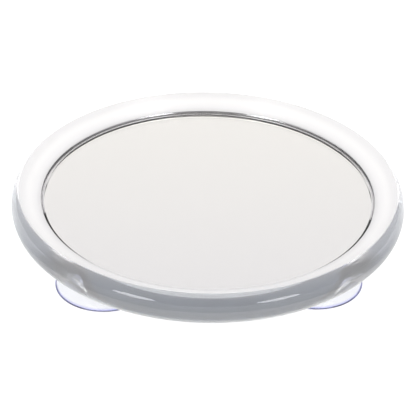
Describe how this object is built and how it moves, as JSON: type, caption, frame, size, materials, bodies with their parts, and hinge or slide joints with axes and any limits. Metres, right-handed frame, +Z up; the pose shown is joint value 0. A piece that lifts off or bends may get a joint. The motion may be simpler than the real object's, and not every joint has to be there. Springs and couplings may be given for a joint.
{
  "type": "magnifying makeup mirror",
  "caption": "Round concave magnifying makeup mirror in a thick clear frame with a full round edge, face up on clear suction cups.",
  "frame": {"origin": "on the round frame's axis, on the surface that the three suction cups stand on", "axes": "+Z up out of the glass, +X to the right and +Y away from the picture's camera, towards the rear cup"},
  "size_m": [0.16, 0.16, 0.0321],
  "materials": {
    "clear_acrylic": "clear, polished",
    "silvered_glass": "concave, silvered on its back",
    "grey_foam": "matt",
    "clear_vinyl": "clear, glossy, faintly violet at its edges"
  },
  "bodies": {
    "frame": {"clear_frame": "clear_acrylic", "mirror_glass": "silvered_glass", "bonding_pad": "grey_foam"},
    "stem_left": {"cup_left_stem": "clear_vinyl"},
    "bell_left": {"cup_left_bell": "clear_vinyl"},
    "stem_right": {"cup_right_stem": "clear_vinyl"},
    "bell_right": {"cup_right_bell": "clear_vinyl"},
    "stem_rear": {"cup_rear_stem": "clear_vinyl"},
    "bell_rear": {"cup_rear_bell": "clear_vinyl"}
  },
  "joints": [
    {"name": "cup_left_swivel", "type": "hinge", "parent": "frame", "child": "stem_left", "pos_m": [-0.042, -0.02425, 0.0176], "axis": [0, 0, 1], "continuous": true},
    {"name": "cup_left_press", "type": "slide", "parent": "stem_left", "child": "bell_left", "axis": [0, 0, 1], "range_m": [0, 0.0045], "stiffness_N_per_m": 3500, "springref_m": -0.0006, "deforming": ["cup_left_bell"]},
    {"name": "cup_right_swivel", "type": "hinge", "parent": "frame", "child": "stem_right", "pos_m": [0.042, -0.02425, 0.0176], "axis": [0, 0, 1], "continuous": true},
    {"name": "cup_right_press", "type": "slide", "parent": "stem_right", "child": "bell_right", "axis": [0, 0, 1], "range_m": [0, 0.0045], "stiffness_N_per_m": 3500, "springref_m": -0.0006, "deforming": ["cup_right_bell"]},
    {"name": "cup_rear_swivel", "type": "hinge", "parent": "frame", "child": "stem_rear", "pos_m": [0, 0.0485, 0.0176], "axis": [0, 0, 1], "continuous": true},
    {"name": "cup_rear_press", "type": "slide", "parent": "stem_rear", "child": "bell_rear", "axis": [0, 0, 1], "range_m": [0, 0.0045], "stiffness_N_per_m": 3500, "springref_m": -0.0006, "deforming": ["cup_rear_bell"]}
  ]
}
